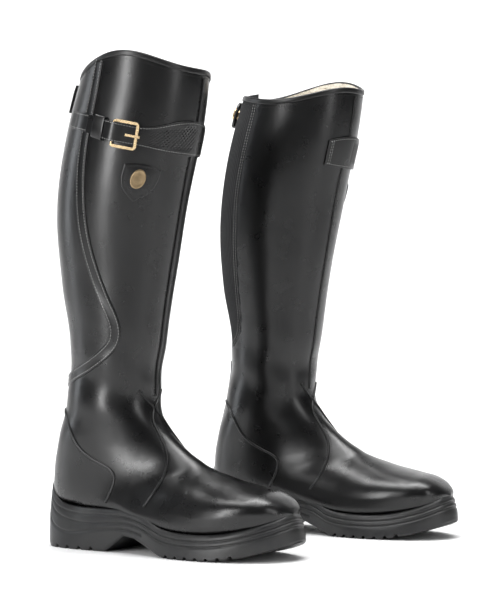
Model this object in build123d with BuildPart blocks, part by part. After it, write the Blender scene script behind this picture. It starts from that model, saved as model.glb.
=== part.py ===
"""A pair of tall winter riding boots: zip back, elastic gusset, buckled top strap, moulded rubber sole.

Every piece is designed for the right boot in its own frame (millimetres): X towards the toe from the
back of the heel, Y towards the inside of the leg, Z up from the ground. The left boot is its mirror
image, toed out a little and standing beside it. The row's origin is at the middle of the pair, on the
ground.
"""

import os
from math import asin, cos, degrees, hypot, pi, radians, sin, sqrt

from build123d import *

os.makedirs("parts", exist_ok=True)

# --- Where the two boots stand ---
RIGHT_AT = (-157.0, -110.5)  # row place of the right boot's own origin
LEFT_STEP = (42.0, 221.0)  # the left boot stands this much further forward and inward
LEFT_TURN = 4.0  # degrees that the left toe turns out
TURN_CENTRE = 70.0  # X of the leg's middle, about which it turns

# --- The back line of the leg: one arc, which the zip follows ---
ZIP_R = 420.0
ZIP_CENTRE = (432.0, 290.0)  # X, Z of the arc's centre
ZIP_BOTTOM = 184.0
ZIP_TOP = 441.0


def back_x(z):
    """X of the leg's back line at height z."""
    return ZIP_CENTRE[0] - sqrt(ZIP_R**2 - (z - ZIP_CENTRE[1]) ** 2)


# --- Stations of the outer leather, from the top of the leg round the heel to the toe ---
# back or underside X, Z; front or upper side X, Z; half widths outside and inside;
# where along it is widest; roundness (2 is an ellipse) of its back and front halves
STATIONS = [
    (back_x(480), 480, 167, 480, 57, 57, 0.5, 2.05, 2.05),
    (back_x(432), 432, 163, 432, 57.5, 57.5, 0.5, 2.05, 2.05),
    (back_x(397), 397, 157, 397, 59, 59, 0.5, 2.05, 2.05),
    (back_x(352), 352, 146, 352, 59, 59, 0.5, 2.05, 2.05),
    (back_x(306), 306, 136, 306, 56, 56, 0.5, 2.05, 2.05),
    (back_x(249), 249, 126, 249, 48, 48, 0.53, 1.95, 2.1),
    (back_x(192), 192, 117, 192, 42.5, 42.5, 0.55, 1.95, 2.1),
    (22, 160, 112, 160, 40, 40, 0.55, 1.95, 2.1),
    (17, 130, 112.5, 136, 40, 40, 0.53, 2.0, 2.1),
    (9, 100, 121, 120, 39, 39, 0.48, 2.1, 2.0),
    (3.5, 72, 134.5, 105.5, 37, 37, 0.45, 2.2, 1.9),
    (6, 45, 149, 94, 36, 37, 0.42, 2.4, 1.9),
    (35, 38, 164.5, 84.5, 36, 38, 0.38, 2.8, 1.9),
    (85, 36, 178, 78, 39, 39, 0.36, 3.0, 1.9),
    (125, 28, 192, 73.5, 45, 42, 0.34, 3.2, 2.0),
    (158, 22, 206, 69.5, 48.5, 46, 0.34, 3.2, 2.0),
    (187, 21, 219, 66.5, 49, 46.5, 0.34, 3.2, 2.1),
    (212, 23, 232, 63.5, 46, 44, 0.36, 3.2, 2.2),
    (236, 27, 246, 60, 38.5, 38, 0.38, 3.0, 2.3),
    (252, 31, 256, 54, 28, 29, 0.42, 2.7, 2.4),
    (262, 37, 263.5, 48, 14, 15, 0.46, 2.4, 2.4),
]
TOE_PULL = {15: 0.1, 16: 0.15, 17: 0.3, 18: 0.55, 19: 0.8}  # share of a layer's depth lost in length
LAST_INNER = 19  # inner layers end at this station
SIDES = 24  # flats round every section

# --- Layers, as depths under the outer leather (negative stands proud) ---
LEATHER = 2.2
STIFFENER = 3.6
LINING = 7.0
OVERLAY = -1.3
BINDING = -1.0
PIPING = -1.2
TAB_UNDER = -2.8
TAB_OUTER = -4.7
KEEPER_INNER = -5.5
KEEPER_OUTER = -6.8

# --- The slanted top line: highest on the outside of the leg ---
TOP_MIDDLE = (101.0, 0.0, 446.0)
TOP_SLOPE = (0.072, -0.228)
BINDING_HEIGHT = 3.0
BINDING_LAP = 4.5

# --- Seams, seen from the side (X, Z) ---
VAMP_LINE = [(108, 150), (112, 137), (118, 122), (126, 110), (134, 99), (140, 88), (142, 77),
             (141, 66), (137, 55), (130, 45), (122, 32), (116, 14)]
COUNTER_LINE = [(-4, 143), (10, 138), (24, 131), (36, 120), (51, 99), (61, 90), (73, 83.5),
                (84, 78.5), (90, 73.5), (91.5, 67), (89, 57), (83, 46), (77, 36), (72, 14)]
STRIP_LINE = [(94, 475), (88, 445), (82, 415), (76, 388), (72, 362), (70, 335), (70, 310), (73, 285),
              (79, 260), (87, 236), (94, 217), (95.5, 204), (92, 193), (82, 183), (66, 173),
              (44, 164), (16, 153), (-10, 146)]
GUSSET_LINE = [(84, 475), (79, 450), (76, 425), (71, 404), (64, 375), (57.5, 343), (54, 311),
               (52, 280), (51.5, 244), (52, 214), (47, 198), (36, 187), (16, 179), (-10, 175)]
STRIP_WIDTH = 10.4
PIPING_WIDTH = 2.0
GUSSET_DEPTH = (0.4, 1.8)
BACKSTAY = (9.0, 60.0, 172.0)  # half width, from Z, to Z

# --- Sole ---
SOLE_OUTLINE = [(0, 0), (2.5, -15), (9, -25), (20, -32.5), (38, -37), (60, -38), (85, -37.5),
                (105, -39), (130, -44), (153, -50), (173, -53), (192, -53.5), (212, -51),
                (231, -45), (247, -36), (260, -24), (269, -10), (272, 2), (269.5, 14),
                (262, 26), (250, 36), (235, 44), (216, 49), (196, 51), (176, 50), (154, 45),
                (130, 39), (105, 35.5), (85, 35.5), (60, 37), (38, 36.5), (20, 32), (9, 25),
                (2.5, 14)]
SOLE_TOP = [(-4, 66), (3, 60), (12, 47), (25, 41), (47, 38.5), (71, 38.5), (94, 38.5), (116, 37),
            (134, 32.5), (150, 25.5), (167, 22.5), (187, 21.8), (205, 22.4), (222, 24.6),
            (240, 28.5), (256, 34), (268, 39), (280, 44)]
HEEL_BREAST = 82.0
ARCH_FRONT = (104.0, 16.0)
BALL_BACK = 150.0
BALL_FRONT = 205.0
TOE_TIP = (280.0, 20.0)
GROOVE_DEPTH = 3.0
GROOVE_WIDTH = 3.5
FOREFOOT_GROOVES = [160 + 11 * i for i in range(5)]
HEEL_GROOVES = [24 + 14 * i for i in range(4)]

# --- Layers over the sole, inside the boot ---
UNDERSIDE = [(-6, 48), (6, 42), (20, 39), (47, 37), (85, 36), (105, 33), (125, 28), (142, 24.5),
             (158, 22), (187, 21), (212, 23), (236, 27), (252, 31), (268, 37)]
BOARD_TOP = 5.4  # over the upper's underside
FOOTBED_TOP = 11.5
SHANK = (58.0, 150.0, 7.0, 3.7)  # from X, to X, half width, top over the underside
COUNTER_BACK_SET = (-8.0, -9.0)  # stiffener's edge behind and below the counter's edge

# --- Zip ---
SLOT_HALF = 7.0
TAPE_HALF = 9.0
TAPE = (2.3, 3.3)  # depths
COIL_SIDES = (0.75, 2.35)  # each row of teeth, from and to, either side of the middle
COIL_HALF_THICK = 1.2
CHAIN_DEPTH = 2.8
CAVITY_DEPTH = 6.0
SLIDER_Z = 403.0
COIL_TOP = 411.0
SLIDER_LONG = 11.0
SLIDER_HALF = 4.3
PLATE = (1.5, 2.7)  # slider plates, from and to, either side of the chain's middle
LIP_INNER = 2.75
LIP_GAP = 0.9
POST_HALF = 0.4
LUG_TOP = 5.0
LUG_HOLE_R = 1.05
PULL_LONG = 27.0
PULL_WIDE = 7.5
PULL_THICK = 1.2
PULL_PIN_R = 0.7
PULL_LIP = 0.7  # of the pull above its pivot
PULL_X = 3.85  # the pull's pivot, out from the chain's middle

# --- Top tab with its press stud ---
TAB_Z = 426.0
TAB_TALL = 27.0
TAB_HINGE_Y = -25.0
TAB_END_Y = 27.0
TAB_ROOT_Y = -33.0
TAB_GAP = 0.4
TAB_CORNER = 9.0
STUD_Y = 18.0
STUD_R = 5.0
STUD_TALL = 1.6
CAP_R = 6.5
CAP_TOP = 6.0

# --- Strap round the upper leg, seen from the side (X, Z) ---
STRAP_Z = 386.0
STRAP_LEAN = (0.22, 0, 1)
STRAP_TOP = [(48, 412), (56, 410), (80, 405), (102, 399), (118, 395), (132, 392.5), (142, 394),
             (152, 399), (162, 404), (175, 407)]
STRAP_BOTTOM = [(48, 397), (56, 394.5), (80, 389), (102, 381.5), (118, 378), (132, 375), (142, 372),
                (152, 369), (162, 368), (175, 368)]
STRAP_END_Y = 90.0
CHAPE_THICK = 1.5
CHAPE_RUN = [(126, 0.1), (118, 0.3), (110, 1.5), (94, 1.5), (88, 1.0), (82, 0.2), (76, 0.1)]
BILLET_THICK = 1.8
BILLET_RUN = [(-32, 0.5), (-20, 0.8), (0, 1.5), (20, 0.9), (38, 0.5), (50, 0.4), (56, 0.7), (62, 2.4),
              (68, 5.0), (74.3, 6.3), (79, 5.4), (84, 3.6), (90, 3.3), (98, 3.4)]
KEEPER = (87.0, 98.0)  # from X, to X
KEEPER_WALL = 1.8
KEEPER_CLEAR = 0.4
BUCKLE_Z = 388.0
BUCKLE_DROP = 4.4  # of the strap between hinge bar and outer bar
BUCKLE_ANGLES = (74.3, 54.5)  # of the hinge bar and the outer bar
HINGE_OUT = 3.0
OUTER_BAR_OUT = 4.0
BUCKLE_TALL = 26.0
WIRE = 2.6
BAR_R = 1.2
LOOP_R = (1.5, 2.9)
PRONG_EYE = 2.5
PIN_GAP = 0.15
PRONG_LONG = 26.5
PRONG_THICK = 1.4
PRONG_Z = 2.35
PRONG_HALF = 1.1
PRONG_SLOT = 1.7

# --- Badge ---
BADGE_ANGLE = 46.0  # round the leg from its front
BADGE_Z = 343.0
BADGE_TILT = -9.0
PATCH_THICK = 1.5
PLATE_THICK = 1.2
PLATE_AT = (-1.5, 2.5)
PLATE_RADII = (7.0, 8.8)
PATCH_OUTLINE = [(-17.5, 13.5), (-9, 15.2), (0, 15.8), (9, 15.2), (17.5, 13.5), (17, 2), (12, -8.5),
                 (0, -17.8), (-12, -8.5), (-17, 2)]


def layer_row(index, depth):
    """The station at index, moved inwards by depth (outwards if negative)."""
    back_px, back_pz, front_px, front_pz, outside, inside, widest, back_n, front_n = STATIONS[index]
    run = hypot(front_px - back_px, front_pz - back_pz)
    ux, uz = (front_px - back_px) / run, (front_pz - back_pz) / run
    pull = TOE_PULL.get(index, 0) * max(depth, 0) * 2
    return (back_px + ux * depth - pull, back_pz + uz * depth,
            front_px - ux * depth - pull, front_pz - uz * depth,
            outside - depth, inside - depth, widest, back_n, front_n)


def section_point(row, angle):
    """Point of a station at an angle from its front, in its own plane: U back to front, V inwards."""
    back_px, back_pz, front_px, front_pz, outside, inside, widest, back_n, front_n = row
    run = hypot(front_px - back_px, front_pz - back_pz)
    c, s = cos(angle), sin(angle)
    n = front_n if c >= 0 else back_n
    reach = abs(c) ** (2 / n) * (1 - widest if c >= 0 else -widest)
    side = inside if s >= 0 else -outside
    return ((widest + reach) * run, side * abs(s) ** (2 / n))


def boot_form(depth, last=len(STATIONS) - 1):
    """The solid form of the boot under a layer of this depth."""
    with BuildPart() as form:
        for index in range(last + 1):
            row = layer_row(index, depth)
            along = Vector(row[2] - row[0], 0, row[3] - row[1]).normalized()
            upright = along.cross(Vector(0, 1, 0))
            with BuildSketch(Plane(origin=(row[0], 0, row[1]), x_dir=along, z_dir=upright)):
                with BuildLine():
                    corners = [2 * pi * (i + 0.5) / SIDES for i in range(SIDES)]
                    Polyline(*[section_point(row, angle) for angle in corners], close=True)
                make_face()
        loft(ruled=True)
    return form.part


def side_block(edge, corners, y_from=-90.0, y_to=90.0):
    """A block whose outline, seen from the side, is a curve through edge closed by straight corners."""
    with BuildPart() as block:
        with BuildSketch(Plane.XZ.offset(-y_to)):
            with BuildLine():
                Spline(*edge)
                Polyline(edge[-1], *corners, edge[0])
            make_face()
        extrude(amount=y_to - y_from)
    return block.part


def side_band(line, half_width, y_from=-90.0, y_to=90.0):
    """A block that follows a line seen from the side, half_width to either side of it."""
    left, right = [], []
    for i, (x, z) in enumerate(line):
        x0, z0 = line[max(i - 1, 0)]
        x1, z1 = line[min(i + 1, len(line) - 1)]
        run = hypot(x1 - x0, z1 - z0)
        across_x, across_z = -(z1 - z0) / run * half_width, (x1 - x0) / run * half_width
        left.append((x + across_x, z + across_z))
        right.append((x - across_x, z - across_z))
    with BuildPart() as band:
        with BuildSketch(Plane.XZ.offset(-y_to)):
            with BuildLine():
                Spline(*left)
                Spline(*right)
                Line(left[0], right[0])
                Line(left[-1], right[-1])
            make_face()
        extrude(amount=y_to - y_from)
    return band.part


def shifted(line, dx, dz):
    return [(x + dx, z + dz) for x, z in line]


def zip_plane(z, depth=0.0):
    """Plane at a depth under the back line: X out of the leg, Y towards its outside, Z up the zip."""
    tilt = asin((z - ZIP_CENTRE[1]) / ZIP_R)
    out = Vector(-cos(tilt), 0, sin(tilt))
    origin = Vector(ZIP_CENTRE[0], 0, ZIP_CENTRE[1]) + out * (ZIP_R - depth)
    return Plane(origin=origin, x_dir=out, z_dir=(sin(tilt), 0, cos(tilt)))


def zip_strip(depth_from, depth_to, y_from, y_to, z_from, z_to):
    """A strip along the back line's arc, between two depths under it."""
    turn = degrees(asin((z_to - ZIP_CENTRE[1]) / ZIP_R) - asin((z_from - ZIP_CENTRE[1]) / ZIP_R))
    with BuildPart() as strip:
        with BuildSketch(zip_plane(z_from)):
            with Locations((-(depth_from + depth_to) / 2, -(y_from + y_to) / 2)):
                Rectangle(depth_to - depth_from, y_to - y_from)
        revolve(axis=Axis((ZIP_CENTRE[0], 0, ZIP_CENTRE[1]), (0, 1, 0)), revolution_arc=turn)
    return strip.part


def leg_row(z):
    """The upper leg's station at height z, between the two given stations around it."""
    upper = max(i for i, row in enumerate(STATIONS) if row[1] >= z and i < 7)
    top, low = STATIONS[upper], STATIONS[upper + 1]
    share = (z - low[1]) / (top[1] - low[1])
    row = [a * share + b * (1 - share) for a, b in zip(top, low)]
    middle, half = (back_x(z) + row[2]) / 2, (row[2] - back_x(z)) / 2
    return middle, half, row[4], row[5]


def leg_point(z, angle, out=0.0):
    """Point at an angle round the leg from its front, positive towards the outside, out from the skin."""
    middle, half, outside, inside = leg_row(z)
    width = outside if angle > 0 else inside
    turn = radians(angle)
    return Vector(middle + (half + out) * cos(turn), -(width + out) * sin(turn), z)


def leg_plane(z, angle):
    """Plane on the skin there: Z out of the leg, Y up it."""
    middle, half, outside, inside = leg_row(z)
    low, high = leg_point(z - 8, angle), leg_point(z + 8, angle)
    up = (high - low).normalized()
    turn = radians(angle)
    level = Vector(-sin(turn) * half, -cos(turn) * (outside if angle > 0 else inside), 0)
    return Plane(origin=leg_point(z, angle), x_dir=-level, z_dir=up.cross(level).normalized())


def ribbon(run, thick):
    """A strap laid round the leg: run gives angles and how far its under side stands from the skin."""
    with BuildPart() as strap:
        with BuildSketch(Plane.XY.offset(STRAP_Z)):
            with BuildLine():
                under = [tuple(leg_point(STRAP_Z, angle, out))[:2] for angle, out in run]
                over = [tuple(leg_point(STRAP_Z, angle, out + thick))[:2] for angle, out in run]
                Spline(*under)
                Spline(*over)
                Line(under[0], over[0])
                Line(under[-1], over[-1])
            make_face()
        extrude(amount=45, dir=STRAP_LEAN, both=True)
    return strap.part


def side_strap(margin):
    """The strap's outline seen from the side, taller by margin at both edges."""
    with BuildPart() as block:
        with BuildSketch(Plane.XZ.offset(-STRAP_END_Y)):
            with BuildLine():
                top, bottom = shifted(STRAP_TOP, 0, margin), shifted(STRAP_BOTTOM, 0, -margin)
                Spline(*top)
                Spline(*bottom)
                Line(top[0], bottom[0])
                Line(top[-1], bottom[-1])
            make_face()
        extrude(amount=90 + STRAP_END_Y)
    return block.part


# --- Forms that the pieces are cut from ---
skin = boot_form(0)
under_leather = boot_form(LEATHER, LAST_INNER)
under_stiffener = boot_form(STIFFENER, LAST_INNER)
leg_space = boot_form(LINING, LAST_INNER)
over_overlay = boot_form(OVERLAY)
over_binding = boot_form(BINDING)
over_piping = boot_form(PIPING)

vamp_side = side_block(VAMP_LINE, [(300, 14), (300, 150)])
counter_side = side_block(COUNTER_LINE, [(-40, 14), (-40, 143)])
calf_side = side_block(STRIP_LINE, [(-60, 146), (-60, 475)], y_to=0)
gusset_side = side_block(GUSSET_LINE, [(-60, 175), (-60, 475)], y_from=0)
zip_slot = zip_strip(-14, CAVITY_DEPTH, -SLOT_HALF, SLOT_HALF, ZIP_BOTTOM, 484)

top_normal = Vector(-TOP_SLOPE[0], -TOP_SLOPE[1], 1).normalized()
top_plane = Plane(origin=TOP_MIDDLE, z_dir=top_normal)


def above_top(height):
    """Everything above the top line raised by height."""
    with BuildPart() as block:
        with BuildSketch(top_plane.offset(height)):
            Rectangle(400, 400)
        extrude(amount=120)
    return block.part


above_leather = above_top(0)
above_rim = above_top(BINDING_HEIGHT)
above_lap = above_top(-BINDING_LAP)

under_board = side_block(shifted(UNDERSIDE, 0, BOARD_TOP), [(268, -30), (-6, -30)])
under_footbed = side_block(shifted(UNDERSIDE, 0, FOOTBED_TOP), [(268, -30), (-6, -30)])

# --- Sole ---
with BuildPart() as outsole:
    with BuildSketch():
        with BuildLine():
            Spline(*SOLE_OUTLINE, periodic=True)
        make_face()
    extrude(amount=80)
    with BuildSketch(Plane.XZ.offset(-90)):
        with BuildLine():
            Spline(*SOLE_TOP)
            Polyline(SOLE_TOP[-1], TOE_TIP, (258, 11), (238, 5), (218, 1.5), (BALL_FRONT, 0),
                     (BALL_BACK + 14, 0), (BALL_BACK, 2), (118, 14.5), ARCH_FRONT, (HEEL_BREAST, 0),
                     (-4, 0), SOLE_TOP[0])
        make_face()
    extrude(amount=180, mode=Mode.INTERSECT)
    with Locations(*[(x, 0, 0) for x in HEEL_GROOVES + FOREFOOT_GROOVES]):
        Box(GROOVE_WIDTH, 200, 2 * GROOVE_DEPTH, mode=Mode.SUBTRACT)
    add(skin, mode=Mode.SUBTRACT)

with BuildPart() as counter_stiffener:
    add(under_leather)
    add(side_block(shifted(COUNTER_LINE, *COUNTER_BACK_SET), [(-48, 5), (-48, 134)]), mode=Mode.INTERSECT)
    add(under_stiffener, mode=Mode.SUBTRACT)

with BuildPart() as shank:
    add(under_leather)
    shank_mid = (SHANK[0] + SHANK[1]) / 2
    with Locations((shank_mid, 0, 30)):
        Box(SHANK[1] - SHANK[0], 2 * SHANK[2], 40, mode=Mode.INTERSECT)
    add(side_block(shifted(UNDERSIDE, 0, SHANK[3]), [(268, -30), (-6, -30)]), mode=Mode.INTERSECT)
    add(counter_stiffener.part, mode=Mode.SUBTRACT)

with BuildPart() as insole_board:
    add(under_leather)
    add(under_board, mode=Mode.INTERSECT)
    add(counter_stiffener.part, mode=Mode.SUBTRACT)
    add(shank.part, mode=Mode.SUBTRACT)

with BuildPart() as footbed:
    add(leg_space)
    add(under_footbed, mode=Mode.INTERSECT)
    add(under_board, mode=Mode.SUBTRACT)

with BuildPart() as lining:
    add(under_leather)
    add(leg_space, mode=Mode.SUBTRACT)
    add(under_board, mode=Mode.SUBTRACT)
    add(above_leather, mode=Mode.SUBTRACT)
    add(counter_stiffener.part, mode=Mode.SUBTRACT)
    add(zip_slot, mode=Mode.SUBTRACT)

# --- Upper ---
with BuildPart() as vamp:
    add(skin)
    add(vamp_side, mode=Mode.INTERSECT)
    add(under_leather, mode=Mode.SUBTRACT)

with BuildPart() as heel_counter:
    add(skin)
    add(counter_side, mode=Mode.INTERSECT)
    add(under_leather, mode=Mode.SUBTRACT)

with BuildPart() as shaft:
    add(skin)
    add(under_leather, mode=Mode.SUBTRACT)
    for other in (vamp_side, counter_side, above_leather, zip_slot):
        add(other, mode=Mode.SUBTRACT)

with BuildPart() as outer_side:
    with Locations((100, -100, 240)):
        Box(500, 200, 600)
with BuildPart() as inner_side:
    with Locations((100, 100, 240)):
        Box(500, 200, 600)

with BuildPart() as calf_panel:
    add(shaft.part)
    add(calf_side, mode=Mode.INTERSECT)

with BuildPart() as outer_quarter:
    add(shaft.part)
    add(outer_side.part, mode=Mode.INTERSECT)
    add(calf_side, mode=Mode.SUBTRACT)

with BuildPart() as inner_quarter:
    add(shaft.part)
    add(inner_side.part, mode=Mode.INTERSECT)
    add(gusset_side, mode=Mode.SUBTRACT)

with BuildPart() as elastic_gusset:
    add(boot_form(GUSSET_DEPTH[0]))
    add(gusset_side, mode=Mode.INTERSECT)
    add(boot_form(GUSSET_DEPTH[1]), mode=Mode.SUBTRACT)
    add(above_leather, mode=Mode.SUBTRACT)
    add(zip_slot, mode=Mode.SUBTRACT)
    add(counter_side, mode=Mode.SUBTRACT)

with BuildPart() as calf_strip:
    add(over_overlay)
    add(side_band(STRIP_LINE[:-1], STRIP_WIDTH / 2, y_to=0), mode=Mode.INTERSECT)
    add(skin, mode=Mode.SUBTRACT)
    add(above_lap, mode=Mode.SUBTRACT)
    add(zip_slot, mode=Mode.SUBTRACT)

with BuildPart() as backstay:
    add(over_overlay)
    with Locations((0, 0, (BACKSTAY[1] + BACKSTAY[2]) / 2)):
        Box(80, 2 * BACKSTAY[0], BACKSTAY[2] - BACKSTAY[1], mode=Mode.INTERSECT)
    add(skin, mode=Mode.SUBTRACT)
    add(calf_strip.part, mode=Mode.SUBTRACT)
    add(outsole.part, mode=Mode.SUBTRACT)

with BuildPart() as top_binding:
    add(over_binding)
    add(above_lap, mode=Mode.INTERSECT)
    add(above_rim, mode=Mode.SUBTRACT)
    add(leg_space, mode=Mode.SUBTRACT)
    for other in (lining, shaft, elastic_gusset):
        add(other.part, mode=Mode.SUBTRACT)
    add(zip_slot, mode=Mode.SUBTRACT)

with BuildPart() as front_run:
    with Locations((150, 0, 300)):
        Box(100, PIPING_WIDTH, 300)

with BuildPart() as piping:
    add(side_band(VAMP_LINE[:-1], PIPING_WIDTH / 2))
    add(front_run.part)
    add(over_piping, mode=Mode.INTERSECT)
    add(skin, mode=Mode.SUBTRACT)
    add(above_lap, mode=Mode.SUBTRACT)
    add(outsole.part, mode=Mode.SUBTRACT)

# --- Zip: two tapes with a row of teeth each, closed along their whole length ---
with BuildPart() as zip_tapes:
    add(zip_strip(*TAPE, COIL_SIDES[1], TAPE_HALF, ZIP_BOTTOM + 0.5, ZIP_TOP))
    mirror(about=Plane.XZ)
    add(skin, mode=Mode.INTERSECT)
    for other in (shaft, elastic_gusset):
        add(other.part, mode=Mode.SUBTRACT)
    add(above_leather, mode=Mode.SUBTRACT)

coil_depths = (CHAIN_DEPTH - COIL_HALF_THICK, CHAIN_DEPTH + COIL_HALF_THICK)
with BuildPart() as zip_coils:
    add(zip_strip(*coil_depths, *COIL_SIDES, ZIP_BOTTOM + 2, COIL_TOP))
    mirror(about=Plane.XZ)
    with BuildSketch(zip_plane(ZIP_BOTTOM + 4, CHAIN_DEPTH)):
        Rectangle(2 * COIL_HALF_THICK, 2 * COIL_SIDES[1])
    extrude(amount=4, both=True)

lining_with_tapes = lining
with BuildPart() as lining:
    add(lining_with_tapes.part)
    add(zip_tapes.part, mode=Mode.SUBTRACT)

slider_plane = zip_plane(SLIDER_Z, CHAIN_DEPTH)
with BuildPart() as zip_slider:
    with BuildSketch(slider_plane.offset(-SLIDER_LONG / 2)):
        Rectangle(2 * PLATE[1], 2 * SLIDER_HALF)
        Rectangle(2 * PLATE[0], 2 * LIP_INNER, mode=Mode.SUBTRACT)
        Rectangle(2 * LIP_GAP, 2 * SLIDER_HALF, mode=Mode.SUBTRACT)
    extrude(amount=SLIDER_LONG)
    with BuildSketch(slider_plane):
        Rectangle(2 * PLATE[0] + 0.4, 2 * POST_HALF)
    extrude(amount=SLIDER_LONG / 2)
    with BuildSketch(slider_plane.offset(-2.2)):
        with Locations(((PLATE[1] + LUG_TOP) / 2, 0)):
            Rectangle(LUG_TOP - PLATE[1], 2.4)
    extrude(amount=4.4)
    with BuildSketch(Plane(slider_plane.origin, x_dir=slider_plane.x_dir, z_dir=(0, 1, 0))):
        with Locations((PULL_X, 0)):
            Circle(LUG_HOLE_R)
    extrude(amount=5, both=True, mode=Mode.SUBTRACT)

pull_plane = Plane(slider_plane.origin, x_dir=slider_plane.x_dir, z_dir=(0, 1, 0))
with BuildPart() as zip_pull:
    with BuildSketch(Plane(slider_plane.origin + slider_plane.x_dir * (PULL_X - PULL_THICK / 2),
                           x_dir=(0, 1, 0), z_dir=slider_plane.x_dir)):
        with Locations((0, PULL_LONG / 2 - PULL_LIP)):
            RectangleRounded(PULL_WIDE, PULL_LONG, 2)
        with Locations((0, 1.5)):
            Rectangle(3.6, 9, mode=Mode.SUBTRACT)
        with Locations((0, PULL_LONG - 8)):
            SlotOverall(7, 3, rotation=90, mode=Mode.SUBTRACT)
    extrude(amount=PULL_THICK)
    with BuildSketch(pull_plane):
        with Locations((PULL_X, 0)):
            Circle(PULL_PIN_R)
    extrude(amount=PULL_WIDE / 2 - 0.6, both=True)

# --- Tab across the top of the zip, closed by a press stud ---
tab_plane = zip_plane(TAB_Z)
over_tab = boot_form(TAB_OUTER)
under_tab = boot_form(TAB_UNDER)
tab_face = Plane(tab_plane.origin - tab_plane.x_dir * 30, x_dir=(0, 1, 0), z_dir=tab_plane.x_dir)
with BuildPart() as snap_tab:
    add(over_tab)
    with BuildSketch(tab_face) as tab_outline:
        with Locations(((TAB_HINGE_Y + TAB_GAP + TAB_END_Y) / 2, 0)):
            Rectangle(TAB_END_Y - TAB_HINGE_Y - TAB_GAP, TAB_TALL)
        fillet(tab_outline.vertices().group_by(Axis.X)[-1], radius=TAB_CORNER)
    extrude(amount=60, mode=Mode.INTERSECT)
    add(under_tab, mode=Mode.SUBTRACT)

with BuildPart() as tab_root:
    add(over_tab)
    with BuildSketch(tab_face):
        with Locations(((TAB_ROOT_Y + TAB_HINGE_Y) / 2, 0)):
            Rectangle(TAB_HINGE_Y - TAB_ROOT_Y, TAB_TALL)
    extrude(amount=60, mode=Mode.INTERSECT)
    add(skin, mode=Mode.SUBTRACT)
    add(top_binding.part, mode=Mode.SUBTRACT)

plain_calf = calf_panel
with BuildPart() as calf_panel:
    add(plain_calf.part)
    add(tab_root.part)

stud_row = leg_row(TAB_Z)
stud_place = leg_plane(TAB_Z, degrees(pi - asin(STUD_Y / stud_row[3])) * -1)
with BuildPart() as snap_stud:
    with BuildSketch(stud_place.offset(-2)):
        Circle(STUD_R)
    extrude(amount=2 + STUD_TALL)
    add(skin, mode=Mode.SUBTRACT)

with BuildPart() as snap_cap:
    with BuildSketch(stud_place.offset(3)):
        Circle(CAP_R)
    extrude(amount=CAP_TOP - 3)
    fillet(snap_cap.faces().sort_by(SortBy.DISTANCE)[-1].edges(), radius=1)
    add(over_tab, mode=Mode.SUBTRACT)

# --- Strap and buckle ---
strap_height = side_strap(0)
hinge_at = leg_point(BUCKLE_Z, BUCKLE_ANGLES[0], HINGE_OUT)
outer_bar_at = leg_point(BUCKLE_Z - BUCKLE_DROP, BUCKLE_ANGLES[1], OUTER_BAR_OUT)
strap_along = (outer_bar_at - hinge_at).normalized()
bar_up = Vector(*STRAP_LEAN).normalized()
buckle_out = strap_along.cross(bar_up).normalized()
bar_up = buckle_out.cross(strap_along)
buckle_wide = (outer_bar_at - hinge_at).length
buckle_plane = Plane(origin=hinge_at, x_dir=strap_along, z_dir=buckle_out)
bar_plane = Plane(origin=hinge_at, x_dir=strap_along, z_dir=bar_up)
with BuildPart() as chape_strap:
    add(ribbon(CHAPE_RUN, CHAPE_THICK))
    with BuildSketch(bar_plane):
        Circle(LOOP_R[1])
        Circle(LOOP_R[0], mode=Mode.SUBTRACT)
    extrude(amount=40, both=True)
    with BuildSketch(bar_plane):
        Circle(LOOP_R[0])
    extrude(amount=40, both=True, mode=Mode.SUBTRACT)
    add(strap_height, mode=Mode.INTERSECT)
    with Locations(buckle_plane):
        Box(9, 2 * PRONG_SLOT, 12, mode=Mode.SUBTRACT)
    add(skin, mode=Mode.SUBTRACT)
    add(calf_strip.part, mode=Mode.SUBTRACT)

with BuildPart() as billet_strap:
    add(ribbon(BILLET_RUN, BILLET_THICK))
    add(strap_height, mode=Mode.INTERSECT)
    with Locations(buckle_plane):
        with Locations((5.75, 0, 0)):
            Box(25, 2 * PRONG_SLOT, 20, mode=Mode.SUBTRACT)
    add(skin, mode=Mode.SUBTRACT)

with BuildPart() as keeper_gap:
    add(boot_form(KEEPER_INNER))
    add(side_strap(KEEPER_CLEAR), mode=Mode.INTERSECT)

with BuildPart() as strap_keeper:
    add(boot_form(KEEPER_OUTER))
    with Locations(((KEEPER[0] + KEEPER[1]) / 2, -60, STRAP_Z + 7)):
        Box(KEEPER[1] - KEEPER[0], 40, 60, mode=Mode.INTERSECT)
    add(side_strap(KEEPER_WALL), mode=Mode.INTERSECT)
    add(keeper_gap.part, mode=Mode.SUBTRACT)
    add(skin, mode=Mode.SUBTRACT)
    add(billet_strap.part, mode=Mode.SUBTRACT)

with BuildPart() as buckle_frame:
    with BuildSketch(buckle_plane.offset(-WIRE / 2)):
        with Locations((buckle_wide / 2, 0)):
            RectangleRounded(buckle_wide + WIRE, BUCKLE_TALL, 4)
            with Locations((-5, 0)):
                Rectangle(buckle_wide - WIRE + 10, BUCKLE_TALL - 2 * WIRE, mode=Mode.SUBTRACT)
    extrude(amount=WIRE)
    with BuildSketch(bar_plane):
        Circle(BAR_R)
    extrude(amount=BUCKLE_TALL / 2 - 1.5, both=True)

with BuildPart() as buckle_prong:
    with BuildSketch(bar_plane):
        Circle(PRONG_EYE)
        with Locations((PRONG_LONG / 2, -PRONG_Z)):
            RectangleRounded(PRONG_LONG, PRONG_THICK, 0.6)
        Circle(BAR_R + PIN_GAP, mode=Mode.SUBTRACT)
    extrude(amount=PRONG_HALF, both=True)

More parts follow.
